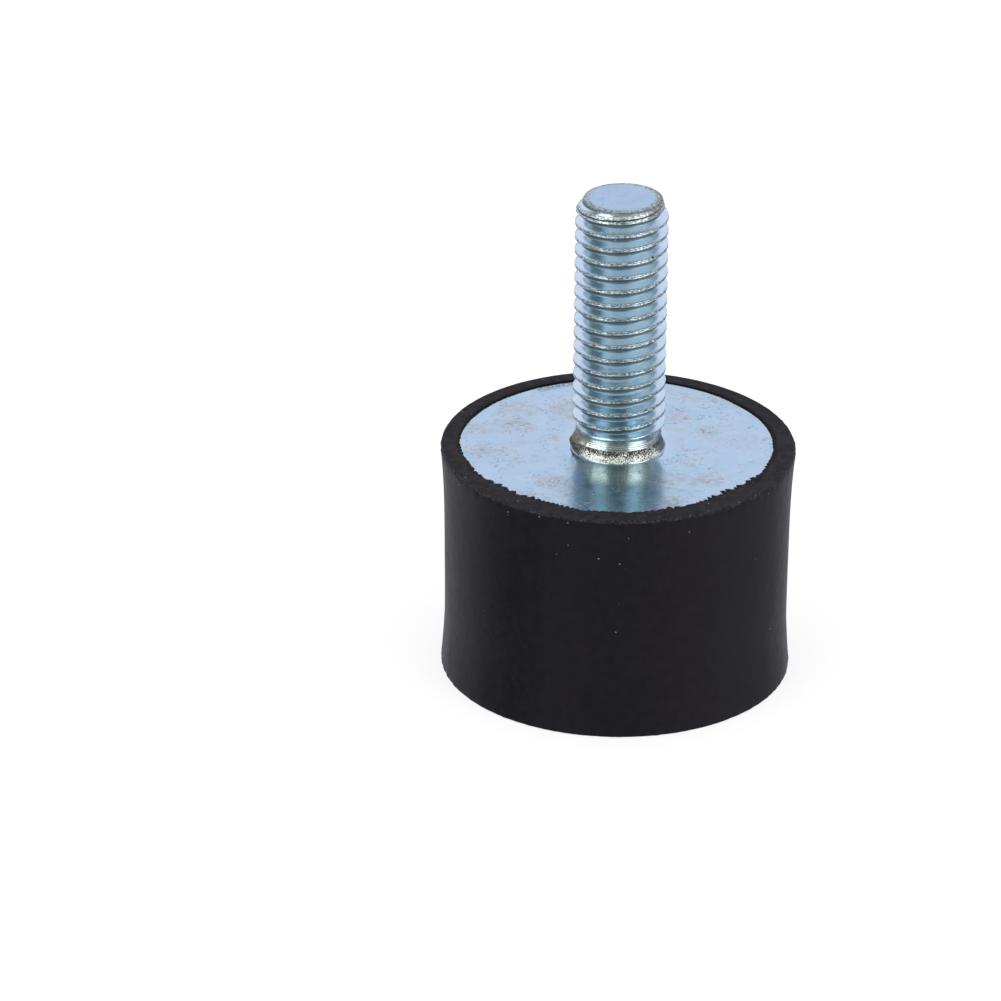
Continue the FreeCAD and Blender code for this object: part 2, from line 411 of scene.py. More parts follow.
def rubberGrid():
    # section from the axis at the stud plate's back, over its edge, across the upper ring, down
    # the flank, across the lower ring and up the barrel's seat to the axis
    angle = anglesOf(rubber["columns"])
    flat = np.ones_like(angle)
    front = easeIn(-np.sin(angle), -0.2, 0.9)  # 1 on the side of the camera, -Y
    rounding = rubber["rimRound"]
    rimCentre = rimRadius - rubber["rimInset"] - rounding

    def flashRadius(seed):
        # plate radius less the skin's width, which is slow waves plus teeth
        cover = rubber["flashCover"] + rubber["flashCoverFront"] * front
        cover = cover + lumps(angle, *rubber["flashCoverRight"])
        slowBack, slowFront = rubber["flashWander"]
        slow = wander(angle, np.arange(3, 17), seed) * (slowBack + slowFront * front)
        allRound, inFront = rubber["teethLength"]
        ragged = lumps(angle, *rubber["teethSides"]) + allRound + inFront * front
        bites = np.abs(wander(angle, np.arange(34, 100), seed + 1)) ** 0.7
        bites = bites + 0.5 * np.abs(wander(angle, np.arange(100, 250), seed + 2)) ** 0.7
        teeth = rubber["flashTeeth"] * ragged * (bites + 0.2 * tornLine(angle, 700, seed + 5))
        return plateRadius - np.maximum(cover + slow + teeth, rubber["flashLeast"])

    def ringRows(seed, outer):
        # from the skin's edge outwards: radius, and how far the ring stands over the end face
        inner = flashRadius(seed)
        lip = inner + rubber["flashLip"]
        share = np.linspace(0, 1, rubber["ringRows"])[:, None] ** 0.8
        torn = 0.3 * tornLine(angle, 260, seed + 3) * (1 - share) ** 4
        thick = rubber["flashThickness"] * (1 + torn)
        thinning = np.array(rubber["flashThinning"])[:, None]
        thick[: len(thinning)] *= thinning
        swell = rubber["ringSwell"] * wander(angle, np.arange(4, 20), seed + 4)
        return inner, lip + (outer - lip) * share, thick + swell * np.sin(share * math.pi)

    def rimRows(seed):
        # quarter circle at the rim, pushed in and out a little round the axis, mostly in
        bend = np.linspace(0, math.pi / 2, rubber["rimRows"])[:, None]
        worn = rubber["rimWear"] * (wander(angle, np.arange(9, 120), seed) - 0.6)
        torn = lumps(angle, *rubber["rimLumps"])
        radius = rimCentre + (rounding + worn + torn) * np.sin(bend)
        return np.minimum(radius, rimRadius), rounding * (1 - np.cos(bend))

    def flankRadius(height):
        # waist, slightly wider in its upper half, plus a steeper flare up and a milder one down
        swell = rubber["upperSwell"] * easeIn(height, *rubber["swellHeights"])
        up = np.clip(1 - (bodyTop - rounding - height) / rubber["topFlare"], 0, 1)
        down = np.clip(1 - (height - rounding) / rubber["bottomFlare"], 0, 1)
        flare = rubber["topGrowth"] * up ** rubber["topPower"]
        flare = flare + rubber["bottomGrowth"] * down ** rubber["bottomPower"]
        return rubber["waistRadius"] + swell + flare

    lift = rubber["flashThickness"]
    bottomInset = rimCentre + rounding - flankRadius(rounding)  # the lower rim is narrower
    innerTop, ringTop, riseTop = ringRows(11, rimCentre)
    innerBottom, ringBottom, riseBottom = ringRows(31, rimCentre - bottomInset)
    riseBottom = riseBottom * rubber["lowerRise"]
    rimTop, dropTop = rimRows(21)
    rimBottom, dropBottom = rimRows(41)
    rimBottom = rimBottom - bottomInset
    topEdge = bodyTop + riseTop[-1]
    bottomEdge = lift - riseBottom[-1]

    # flank, joined to the worn rims over a short height
    heights = np.linspace(bodyTop - rounding, rounding, rubber["flankRows"])[1:-1, None] * flat
    uneven = wander(angle, np.arange(2, 30), 51) * np.sin(heights / bodyTop * 9)
    flank = flankRadius(heights) + rubber["flankWander"] * uneven
    nearTop = easeIn(heights, bodyTop - rubber["flankJoin"], bodyTop - rounding)
    nearBottom = easeIn(heights, rubber["flankJoin"], rounding)
    flank = flank + nearTop * (rimTop[-1] - flankRadius(bodyTop - rounding))
    flank = flank + nearBottom * (rimBottom[-1] - flankRadius(rounding))

    back = bodyTop - plateThickness
    upper = [(0, back), (plateRadius, back), (plateRadius, bodyTop + rubber["gap"])]
    upperRadius, upperHeight = sweepRows(*upper)
    lowerRadius, lowerHeight = sweepRows((plateRadius, lift - rubber["gap"]), *barrelCorners())

    radius = [
        upperRadius * flat,
        innerTop[None],
        ringTop,
        rimTop[1:],
        flank,
        rimBottom[:0:-1],
        ringBottom[::-1],
        innerBottom[None],
        lowerRadius * flat,
    ]
    height = [
        upperHeight * flat,
        (bodyTop + rubber["gap"]) * flat[None],
        bodyTop + riseTop,
        topEdge - dropTop[1:] * (topEdge - bodyTop + rounding) / rounding,
        heights,
        bottomEdge + dropBottom[:0:-1] * (rounding - bottomEdge) / rounding,
        lift - riseBottom[::-1],
        (lift - rubber["gap"]) * flat[None],
        lowerHeight * flat,
    ]
    return roundGrid(angle, np.concatenate(radius), np.maximum(np.concatenate(height), 0))


def rubberFinish():
    # dark satin moulding: mottled matte rings with a painted sheen, a smoother flank, white dust,
    # small pits, a painted highlight on the upper rim and painted shadow at the skin's edge
    made = Finish("blackRubber")
    outer, inner = rubber["ringDepth"]
    onTop = made.span(made.z, bodyTop - outer, bodyTop - inner)
    onRing = made.most(onTop, made.span(made.z, outer, inner))
    mottle = made.grain(1.3, 5.0, 0.4)
    nearTop = made.span(made.z, bodyTop - 5, bodyTop - 0.5)
    dust = made.product(made.specks(*rubber["upperDust"]), nearTop)
    dust = made.most(dust, made.specks(*rubber["dust"]))
    pits = made.specks(*rubber["pits"])

    made.colour = made.mixed(mottle, 0.3, 0.7, rubber["flankTones"])
    # painted sheen: the rings get a lighter tone than the flank, partly dust and partly light on
    # their faces
    made.paint(made.mixed(mottle, 0.35, 0.65, rubber["ringTones"]), onRing)
    made.paint(rubber["dustTone"], dust, rubber["dustShare"])
    made.paint(rubber["pitTone"], pits, rubber["pitShare"])

    # painted highlight: a thin paler line along the upper rim's rounded outer edge, broken up in
    # patches
    rim = made.product(made.span(made.radius, rimRadius - 0.24, rimRadius - 0.16), onTop)
    highlightBreakup = made.span(made.grain(7.0, 4.0), 0.42, 0.66)
    patchy = made.span(made.grain(0.5, 2.0), 0.35, 0.6, 0.3, 1.0)
    made.paint(rubber["powderTone"], rim, highlightBreakup, patchy)
    # and painted shadow: a black line along the torn skin's thin edge
    made.paint(
        rubber["tornTone"],
        made.span(made.z, bodyTop + 0.080, bodyTop + 0.070),
        made.span(made.z, bodyTop, bodyTop + 0.002),
        made.span(made.radius, plateRadius + 0.2, plateRadius - 0.05),
    )

    made.rough = made.span(mottle, 0.3, 0.7, *rubber["roughness"])
    made.roughen(onRing, rubber["ringRoughness"])
    made.emboss(mottle, 0.05, 0.5)
    made.emboss(made.grain(7.0, 3.0), 0.02, 0.5)
    made.emboss(made.calc("SUBTRACT", dust, pits), 0.05, 0.6)
    return made.close(
        {
            "Specular IOR Level": rubber["specular"],
            "Specular Tint": rubber["specularTint"],
            "Sheen Weight": rubber["sheen"],
            "Sheen Roughness": rubber["sheenRoughness"],
            "Sheen Tint": rubber["sheenTint"],
        }
    )


# Zinc plating, shared by both steel pieces

zinc = {
    "tones": ((0.400, 0.565, 0.690), (0.450, 0.585, 0.705)),
    "faceDepth": (0.1, 0.04),  # wear and stains fade in this near to the face's height,
    "faceRadius": (4.3, 4.5),  # and this far from the axis
    "stainTone": (0.465, 0.475, 0.455),
    "stainShare": 0.64,
    "scuffTone": (0.14, 0.145, 0.16),
    "scuffShare": 0.68,
    "pitTone": (0.07, 0.075, 0.08),
    "pitShare": 0.75,
    "pits": (1.1, 0.07, 0.35),  # to a millimetre, their size and the share kept
    "roughness": (0.15, 0.24),
    "wornRoughness": 0.16,  # more where it is scuffed or stained
}


def zincFinish(name, faceHeight, patches, detail):
    # blue-white plating with faint lavender and tan areas, short scuffs and pits on the flat
    # face, and silvery gritty metal where the steel was formed; detail says where that is
    made = Finish(name)
    made.colour = made.mixed(made.grain(0.5, 2.0, 0.3), 0.35, 0.65, zinc["tones"])

    away = made.calc("ABSOLUTE", made.calc("SUBTRACT", made.z, faceHeight))
    outside = made.span(made.radius, *zinc["faceRadius"])
    onFace = made.product(made.span(away, *zinc["faceDepth"]), outside)

    # tan staining in patches a few millimetres wide, broken up by finer grain
    worn = 0.0
    for x, y, size in patches:
        worn = made.most(made.ball((x, y, faceHeight), size, size * 0.5, size * 1.2), worn)
    patch = made.most(made.span(made.grain(0.24, 4.0, 0.8), 0.46, 0.68), worn)
    broken = made.span(made.grain(1.5, 5.0, 0.6), 0.32, 0.58)
    stain = made.product(patch, broken, onFace)
    made.paint(zinc["stainTone"], stain, zinc["stainShare"])

    # scratches where one noise crosses its middle and another is high, and short scuffs at the
    # top end of a stretched noise, both in places only
    scuffed = made.most(made.span(made.grain(0.30, 4.0, 0.8), 0.44, 0.64, 0.12, 0.75), worn)
    bent = made.warped(made.stretched(0.8, 1.3, 1.0), 0.30)
    level = made.calc("ABSOLUTE", made.calc("SUBTRACT", made.grain(1.2, 4.0, 0.6, bent), 0.5))
    long = made.product(made.span(level, 0.022, 0.008), made.span(made.grain(1.9), 0.50, 0.58))
    flowing = made.warped(made.stretched(1.6, 1.0, 1.0), 0.5)
    short = made.span(made.grain(4.2, 2.0, 0.9, flowing), 0.635, 0.70)
    scuff = made.product(made.most(long, short), scuffed, onFace)
    pits = made.product(made.specks(*zinc["pits"]), onFace)
    made.paint(zinc["scuffTone"], scuff, zinc["scuffShare"])
    made.paint(zinc["pitTone"], pits, zinc["pitShare"])

    made.rough = made.span(made.grain(0.8, 3.0), 0.3, 0.7, *zinc["roughness"])
    made.roughen(made.most(scuff, stain), zinc["wornRoughness"])
    made.emboss(made.grain(0.9, 2.0), 0.05, 0.3)
    made.emboss(made.grain(8.0, 3.0), 0.006, 0.6)
    made.emboss(made.most(scuff, pits), -0.03, 0.6)
    detail(made)
    return made.close({"Metallic": 1.0})


# Stud plate: disc, foot, neck and thread in one piece

stud = {
    "columns": 176,
    "rowsPerPitch": 24,
    "crestOnRight": 39.865,  # height of one crest on the +X side; the thread is right-hand
    "crestHalf": 0.136,  # half the width of the crest's flat
    "crestRise": 0.01,  # the flat stands this much over the solid's before it is rounded,
    "crestFall": 0.08,  # and slopes down this steeply on its lower side
    "crestRounding": 0.018,
    "crestCrease": 0.035,  # depth of the seam that rolling leaves along the crest
    "creaseWidth": 0.04,
    "tipCrease": 0.07,  # how much deeper it is under the tip
    "creaseDeepens": (1.5, 1.2),  # distances under the tip
    "creaseEnds": (0.2, 0.35),
    "rootRounding": 0.035,
    "wear": 0.02,
    "wearSteps": (0.31, 0.9),  # between the corners of the worn crest, fine and coarse
    "footTop": 1.14,  # heights over the plate
    "footWidth": 0.74,
    "footPower": 1.5,  # of the curve in which it spreads
    "footLip": 0.10,
    "lipHeight": 0.07,
    "footSides": ((0, 186), (38, 30), (-0.24, -0.20)),  # it spreads less at these angles
    "plateRise": 0.16,  # the face rises this much towards the foot,
    "riseReach": 0.8,  # and falls off over this distance
    "neckLines": 3,  # turned grooves on the neck
    "neckLineDepth": 0.016,
    "neckTop": 1.72,
    "runout": (0.05, 0.85),  # the ridges grow between these heights over the neck
    "chamferStart": 1.35,  # under the tip
    "chamferWear": 0.012,
    "tipEdge": 3.29,
    "tipShift": 0.09,  # the chamfer was cut this far off the axis, towards +X
    "tipFlat": 2.7,
    "tipDrop": 0.1,
    "tipRound": 0.06,
    "tipDish": 0.02,
    "growth": (201, 23, 0.90, 0.44, 0.56),  # furry stain: angle, width, height, width, thickness
    "patches": (  # worn places on the plate's face: x, y, size
        (-8.7, 3.6, 1.5), (-11.6, -1.7, 1.2), (-5.6, -7.3, 1.3), (-7.8, -10.2, 1.1),
        (7.6, 3.2, 0.9), (5.9, -3.3, 0.6), (7.8, -6.4, 1.2), (4.6, -11.0, 1.1),
    ),
    "nicks": ((36.2, 228), (33.6, 214), (29.0, 256), (27.1, 216), (24.9, 275), (38.6, 312)),
    "nickSize": (0.14, 0.12, 0.05),  # half width, half height, depth
    "burntSpot": ((-3.95, -1.35, 0.85), 1.45, 0.5, 1.8),  # place over the plate, size, soft edge
    "tarnishSpot": ((4.0, -0.9, 0.9), 1.3, 0.5, 1.4),  # and raggedness
    "dirtSpot": ((-5.6, 12.0, 0.0), 1.7, 0.6, 2.4),
    "dullSpot": ((0.0, -8.8, 0.0), 4.6, 1.8, 0.0),
    "tones": ((0.515, 0.665, 0.780), (0.570, 0.700, 0.800)),
    "rootTone": (0.075, 0.105, 0.125),
    "crestTones": ((0.155, 0.165, 0.18), (0.90, 0.94, 0.97)),
    "creaseTone": (0.14, 0.15, 0.16),
    "tipTones": ((0.335, 0.480, 0.630), (0.375, 0.515, 0.650)),
    "bevelTones": ((0.24, 0.28, 0.30), (0.60, 0.66, 0.68)),
    "edgeTones": ((0.11, 0.105, 0.10), (0.46, 0.46, 0.45)),
    "neckTones": ((0.62, 0.60, 0.57), (0.97, 0.94, 0.88)),
    "footTones": ((0.050, 0.047, 0.042), (0.95, 0.95, 0.93)),
    "burntTones": ((0.090, 0.076, 0.064), (0.30, 0.27, 0.24)),
    "tarnishTones": ((0.045, 0.075, 0.080), (0.34, 0.42, 0.43)),
    "dirtTone": (0.11, 0.10, 0.09),
    "dullTone": (0.265, 0.34, 0.28),
    "nickTone": (0.01, 0.012, 0.02),
    "dustTone": (0.93, 0.95, 0.96),
}


def threadRadius(fromCrest):
    # 60 degree ridge through the pitch line, rounded off at the crest and at the root
    ridge = pitchRadius + (pitch / 4 - np.abs(fromCrest)) * thread["flankSlope"]
    top = crestRadius + stud["crestRise"] - stud["crestFall"] * np.maximum(-fromCrest, 0)
    return softMax(softMin(ridge, top, stud["crestRounding"]), rootRadius, stud["rootRounding"])


def studGrowth(angle, height):
    # bell-shaped swelling of the stained side of the foot
    place, width, middle, reach, thickness = stud["growth"]
    aside = degreesFrom(place, angle)
    bell = np.exp(-((aside / width) ** 2) - ((height - bodyTop - middle) / reach) ** 2)
    return thickness * bell * (1 + 0.25 * wander(angle, np.arange(20, 80), 71))


def studThread(angle):
    # ridges that fade out of the plain neck below and under the tip's chamfer above, with a
    # worn crest, nicks and the seam that rolling leaves along the crest
    neckTop = bodyTop + stud["neckTop"]
    threadTop = studTop - stud["tipDrop"]
    height, fromCrest, travel = helixRows(
        neckTop, threadTop, stud["crestOnRight"], stud["rowsPerPitch"], stud["columns"]
    )
    length = travel * turn * crestRadius
    fineStep, coarseStep = stud["wearSteps"]
    ragged = 0.6 * roughLine(length, fineStep, 61)
    ragged = ragged + 0.6 * roughLine(length + 2.0 * fromCrest, coarseStep, 62)
    crest = easeIn(np.abs(fromCrest), 0.2, 0.1)
    radius = threadRadius(fromCrest) + stud["wear"] * crest * (ragged - 0.6)
    halfWidth, halfHeight, depth = stud["nickSize"]
    for nickHeight, nickAngle in stud["nicks"]:
        aside = pitchRadius * np.radians(degreesFrom(nickAngle, angle))
        bell = np.exp(-(((height - nickHeight) / halfHeight) ** 2) - (aside / halfWidth) ** 2)
        radius = radius - depth * bell
    begin, full = stud["runout"]
    formed = easeIn(height, neckTop + begin, neckTop + full)
    radius = pitchRadius + formed * (radius - pitchRadius)

    # cone under the tip: its centre lies to one side at the top and comes back below
    down = threadTop - height
    slope = (crestRadius - stud["tipEdge"]) / (stud["chamferStart"] - stud["tipRound"])
    chamfer = stud["tipEdge"] + slope * down + stud["chamferWear"] * ragged
    chamfer = chamfer + stud["tipShift"] * np.cos(angle) * (1 - 2 * np.clip(down, 0, 1))
    radius = np.minimum(np.minimum(radius, chamfer), crestRadius)

    begin, full = stud["creaseDeepens"]
    deeper = stud["tipCrease"] * easeIn(height, studTop - begin, studTop - full)
    seam = (stud["crestCrease"] + deeper) * np.exp(-((fromCrest / stud["creaseWidth"]) ** 2))
    end, fade = stud["creaseEnds"]
    radius = radius - seam * formed * easeIn(height, studTop - end, studTop - fade)
    return radius + studGrowth(angle, height) * easeIn(height, neckTop + 1, neckTop), height


def studGrids():
    angle = anglesOf(stud["columns"])
    flat = np.ones_like(angle)
    threadSide, threadHeight = studThread(angle)

    # tip: from the thread's end over a rounded edge to the flat face
    share = np.linspace(0, 1, 12)[:, None]
    tipRadius = threadSide[-1:] * (1 - share) + stud["tipFlat"] * share
    tipHeight = studTop - stud["tipDrop"] * (1 - share) ** 2
    inward = np.linspace(1, 0, 7)[1:, None]
    tipRadius = np.concatenate([tipRadius, stud["tipFlat"] * inward * flat])
    tipHeight = np.concatenate([tipHeight, studTop - stud["tipDish"] * (1 - inward**2)])

    # from the neck down the foot, which spreads by a power of the depth and ends in a lip
    neckTop = bodyTop + stud["neckTop"]
    down = np.linspace(0, 1, 19)[:-1, None]
    neckHeight = neckTop + (bodyTop + stud["footTop"] - neckTop) * down
    lines = stud["neckLineDepth"] * np.sin(down * stud["neckLines"] * turn) * np.sin(down * math.pi)
    neckRadius = pitchRadius + lines + studGrowth(angle, neckHeight)
    footWidth = stud["footWidth"] + lumps(angle, *stud["footSides"])
    over = np.linspace(1, 0, 26)[:, None] ** 1.3 * stud["footTop"]
    spread = ((stud["footTop"] - over) / stud["footTop"]) ** stud["footPower"]
    lip = stud["footLip"] * np.exp(-over / stud["lipHeight"])
    footRadius = pitchRadius + footWidth * spread + lip
    footRadius = footRadius + studGrowth(angle, bodyTop + over) * easeIn(over, 0.0, 0.25)
    footHeight = bodyTop + np.maximum(over, stud["plateRise"] * (1 - over / stud["footTop"]))

    # over the plate's face, which falls away from the foot, and round its edge to the axis
    footEdge = pitchRadius + footWidth + stud["footLip"]
    share = np.linspace(0, 1, 60)[1:, None] ** 1.8
    faceRadius = footEdge + (plateRadius - steel["edgeBreak"] - footEdge) * share
    fall = np.exp(-(faceRadius - footEdge) / stud["riseReach"])
    faceHeight = bodyTop + stud["plateRise"] * fall * (share < 1)
    back = bodyTop - plateThickness
    edgeRadius, edgeHeight = sweepRows(
        (plateRadius, bodyTop - steel["edgeBreak"]), (plateRadius, back), (0, back)
    )
    lowRadius = np.concatenate([neckRadius, footRadius, faceRadius, edgeRadius * flat])
    lowHeight = np.concatenate(
        [neckHeight * flat, footHeight * flat, faceHeight, edgeHeight * flat]
    )
    return [
        roundGrid(angle, threadSide, threadHeight, stud["rowsPerPitch"]),
        roundGrid(angle, tipRadius, np.minimum(tipHeight, studTop)),
        roundGrid(angle, lowRadius, lowHeight),
    ]


def studDetail(made):
    # the stud's own finish: silvery grit with painted glints on the crests, painted shade in the
    # roots and the crests' seams, a bright neck, a granular foot with painted light and shade and a
    # brown furry stain on one side, and a thin worn line round the tip

    def above(low, high, *levels):  # fades in from one height over the plate to another
        return made.span(made.z, bodyTop + low, bodyTop + high, *levels)

    def below(low, high, *levels):  # the same with distances under the tip
        return made.span(made.z, studTop - low, studTop - high, *levels)

    def within(low, high):  # and with distances from the axis
        return made.span(made.radius, low, high)

    def spot(name):
        (x, y, up), size, edge, fur = stud[name]
        return made.ball((x, y, bodyTop + up), size, edge, fur)

    gritty = made.span(made.grain(12.0, 2.0), 0.40, 0.60)
    along = made.grain(6.5, 3.0, 0.3, made.stretched(0.7, 0.7, 1.9))
    overNeck = above(1.75, 2.1)
    onStud = made.product(within(4.3, 4.1), above(0.02, 0.3))
    made.paint(made.mixed(made.grain(1.1, 3.0), 0.35, 0.65, stud["tones"]), onStud)

    # along the thread: a crest line, wider where the chamfer cuts it, and painted shade at the root
    away = made.calc("ABSOLUTE", made.threadPhase(stud["crestOnRight"]))
    half = stud["crestHalf"] / pitch
    fromEdge = made.calc("SUBTRACT", away, below(1.5, 1.2, 0.0, 0.13))
    onCrest = made.product(made.span(fromEdge, half + 0.015, half - 0.015), overNeck)
    atRoot = made.product(made.span(away, 0.37, 0.44), overNeck)
    tip = made.product(below(0.16, 0.12), within(3.5, 3.4))
    notTip = made.calc("SUBTRACT", 1.0, tip)
    shade = made.product(atRoot, within(3.7, 3.55), notTip)
    made.paint(stud["rootTone"], shade, 0.85)
    silverCrest = made.product(onCrest, within(3.3, 3.36), notTip)
    # painted glints: the crest's near-white flecks stand in for highlights as well as worn grit
    made.paint(made.mixed(along, 0.45, 0.57, stud["crestTones"]), silverCrest, 0.8)
    # painted shade in the seam along the crest, stronger towards the tip
    crease = made.product(made.span(away, 0.055, 0.02), overNeck, notTip)
    made.paint(stud["creaseTone"], crease, below(1.6, 1.1, 0.25, 0.9))

    # tip: its own blue, a grey bevel and a thin brown line at the edge
    made.paint(made.mixed(made.grain(0.9, 3.0), 0.35, 0.65, stud["tipTones"]), tip)
    dots = made.product(tip, made.specks(2.4, 0.15, 0.2))
    blotch = made.product(made.calc("SUBTRACT", made.grain(2.6, 4.0), 0.5), 0.5)
    bevel = made.product(tip, made.span(made.calc("ADD", made.radius, blotch), 2.68, 2.86))
    made.paint(made.mixed(made.grain(4.2, 4.0), 0.38, 0.62, stud["bevelTones"]), bevel, 0.85)
    edge = made.product(within(3.12, 3.2), below(0.35, 0.2), within(3.42, 3.36))
    made.paint(made.blend(gritty, *stud["edgeTones"]), edge, 0.85)

    # neck and foot: the foot's flecks are painted lighter low down, as light on its upturned curve,
    # and painted darker at its left end, as shade
    neck = made.product(above(1.04, 1.14), above(2.0, 1.75), within(4.2, 4.0))
    made.paint(made.blend(gritty, *stud["neckTones"]), neck, 0.9)
    foot = made.product(above(1.18, 1.04), above(0.18, 0.23), within(4.35, 4.25))
    flecks = made.grain(13.0, 2.0, 0.2, made.stretched(1.0, 1.0, 0.5))
    lower = above(1.05, 0.35, -0.12, 0.07)
    patchy = made.span(made.grain(0.8, 2.0), 0.3, 0.7, -0.08, 0.06)
    leftEndShade = made.span(made.x, -2.4, -3.9, 0.0, -0.13)
    level = made.calc("ADD", made.calc("ADD", lower, patchy), leftEndShade)
    level = made.calc("ADD", flecks, level)
    made.paint(made.mixed(level, 0.40, 0.55, stud["footTones"]), foot)

    # brown stain on the foot's left, dark tarnish on its right
    fur = made.grain(5.0, 4.0, 0.8)
    offPlate = above(0.17, 0.3)
    burnt = made.product(spot("burntSpot"), offPlate)
    made.paint(made.mixed(fur, 0.35, 0.65, stud["burntTones"]), burnt, 0.9)
    tarnish = made.product(spot("tarnishSpot"), offPlate)
    made.paint(made.mixed(flecks, 0.47, 0.62, stud["tarnishTones"]), tarnish, 0.9)
    # dirt at the plate's back edge, and a painted darker reflection on the plate in front of the
    # foot
    broken = made.span(fur, 0.35, 0.55)
    made.paint(stud["dirtTone"], spot("dirtSpot"), within(12.2, 12.9), broken, 0.8)
    made.paint(stud["dullTone"], spot("dullSpot"), within(4.2, 4.4), 0.42)

    nicks = made.product(dots, 0.7)
    for height, angle in stud["nicks"]:
        bend = math.radians(angle)
        centre = (crestRadius * math.cos(bend), crestRadius * math.sin(bend), height)
        nicks = made.most(made.ball(centre, 0.13, 0.05), nicks)
    made.paint(stud["nickTone"], nicks)
    made.paint(stud["dustTone"], made.specks(1.5, 0.085, 0.3), onStud, 0.8)

    # grit on the worked places, and turning lines on the neck
    worked = made.most(silverCrest, edge)
    made.roughen(worked, 0.14)
    made.roughen(made.most(foot, made.product(shade, 1.5)), 0.2)
    made.roughen(made.most(burnt, tarnish, bevel), 0.3)
    turned = made.grain(1.0, 3.0, 0.0, made.stretched(0.6, 0.6, 6.0))
    made.emboss(made.product(turned, neck), 0.03, 0.6)
    made.emboss(made.product(along, worked), 0.05, 0.9)
    made.emboss(made.product(flecks, foot), 0.05, 0.9)


# Threaded plate: disc, dished mouth, tapped hole and closed barrel in one piece

hole = {
    "columns": 176,
    "rowsPerPitch": 16,
    "crestOnRight": 3.1,
    "grooveRounding": 0.03,
    "crestRounding": 0.02,
    "faceLift": 0.07,  # the steel lies this far inside the torn rubber skin
    "mouthRadius": 3.6,
    "mouthDepth": 1.3,
    "mouthWidth": 1.7,
    "threadStart": 0.9,  # heights over the lower end
    "startFade": 0.3,
    "threadEnd": 7.6,
    "endFade": 1.0,
    "depth": 8.0,
    "bottomSlope": 0.4,
    "patches": ((6.5, 7.0, 1.6), (-9.0, 2.5, 1.3), (2.0, -10.5, 1.4)),  # x, y, size
    "mouthEdge": (5.12, 5.0),  # distances from the axis where its finish fades in
    "mouthTones": ((0.36, 0.38, 0.39), (0.78, 0.79, 0.78)),
}


def mouthRadius(height):
    # hollow arc from the bore at the mouth's depth to the plate's face
    inner = np.array([boreRadius, hole["mouthDepth"]])
    outer = np.array([boreRadius + hole["mouthWidth"], 0.0])
    chord = np.linalg.norm(outer - inner)
    normal = np.array([inner[1] - outer[1], outer[0] - inner[0]]) / chord
    reach = math.sqrt(hole["mouthRadius"] ** 2 - chord**2 / 4)
    centre = (inner + outer) / 2 - normal * reach
    rest = np.clip(hole["mouthRadius"] ** 2 - (height - centre[1]) ** 2, 0, None)
    return centre[0] + np.sqrt(rest)


def holeThread():
    # inward ridges: the groove reaches the nominal diameter, the crest the bore
    start, end = hole["threadStart"], hole["threadEnd"]
    height, fromCrest, _ = helixRows(
        start, end, hole["crestOnRight"], hole["rowsPerPitch"], hole["columns"]
    )
    groove = pitchRadius + (np.abs(fromCrest) - pitch / 4) * thread["flankSlope"]
    groove = softMin(groove, thread["diameter"] / 2, hole["grooveRounding"])
    groove = softMax(groove, boreRadius, hole["crestRounding"])
    fade = easeIn(height, end, end - hole["endFade"])
    fade = fade * easeIn(height, start, start + hole["startFade"])
    groove = boreRadius + fade * (groove - boreRadius)
    radius = np.maximum(groove, mouthRadius(np.minimum(height, hole["mouthDepth"])))
    return np.where(height >= end, boreRadius, radius), height


def holeGrids():
    # thread, then from it down the mouth, over the face and the back to the barrel's closed
    # end, and the hole's bottom
    angle = anglesOf(hole["columns"])
    lift, edgeBreak = hole["faceLift"], steel["edgeBreak"]
    mouthHeight = np.linspace(hole["threadStart"], lift, 10)[:, None]
    faceRadius = np.linspace(float(mouthRadius(lift)), plateRadius - edgeBreak, 20)[1:, None]
    edgeRadius, edgeHeight = sweepRows((plateRadius, lift + edgeBreak), *barrelCorners())
    outRadius = np.concatenate([mouthRadius(mouthHeight), faceRadius, edgeRadius])
    outHeight = np.concatenate([mouthHeight, np.full_like(faceRadius, lift), edgeHeight])
    bottomRadius, bottomHeight = sweepRows(
        (boreRadius, hole["threadEnd"]),
        (boreRadius - hole["bottomSlope"], hole["depth"]),
        (0, hole["depth"]),
    )
    return [
        roundGrid(angle, *holeThread(), hole["rowsPerPitch"]),
        roundGrid(angle, outRadius, outHeight),
        roundGrid(angle, bottomRadius, bottomHeight),
    ]


def holeDetail(made):
    # bright, slightly gritty mouth and thread
    grit = made.grain(6.0, 3.0)
    inMouth = made.span(made.radius, *hole["mouthEdge"])
    made.paint(made.mixed(grit, 0.35, 0.68, hole["mouthTones"]), inMouth, 0.85)
    made.emboss(made.product(grit, inMouth), 0.04, 0.7)


rubberLook = rubberFinish()
studLook = zincFinish("zincStudPlate", bodyTop, stud["patches"], studDetail)
holeLook = zincFinish("zincThreadedPlate", hole["faceLift"], hole["patches"], holeDetail)
softEdge, hardEdge = rubber["sharpAngle"], steel["sharpAngle"]
makePiece("rubberBody", "rubber_body", [rubberGrid()], rubberLook, softEdge)
makePiece("studPlate", "stud_plate", studGrids(), studLook, hardEdge)
makePiece("threadedPlate", "threaded_plate", holeGrids(), holeLook, hardEdge)


# Floor, light and camera

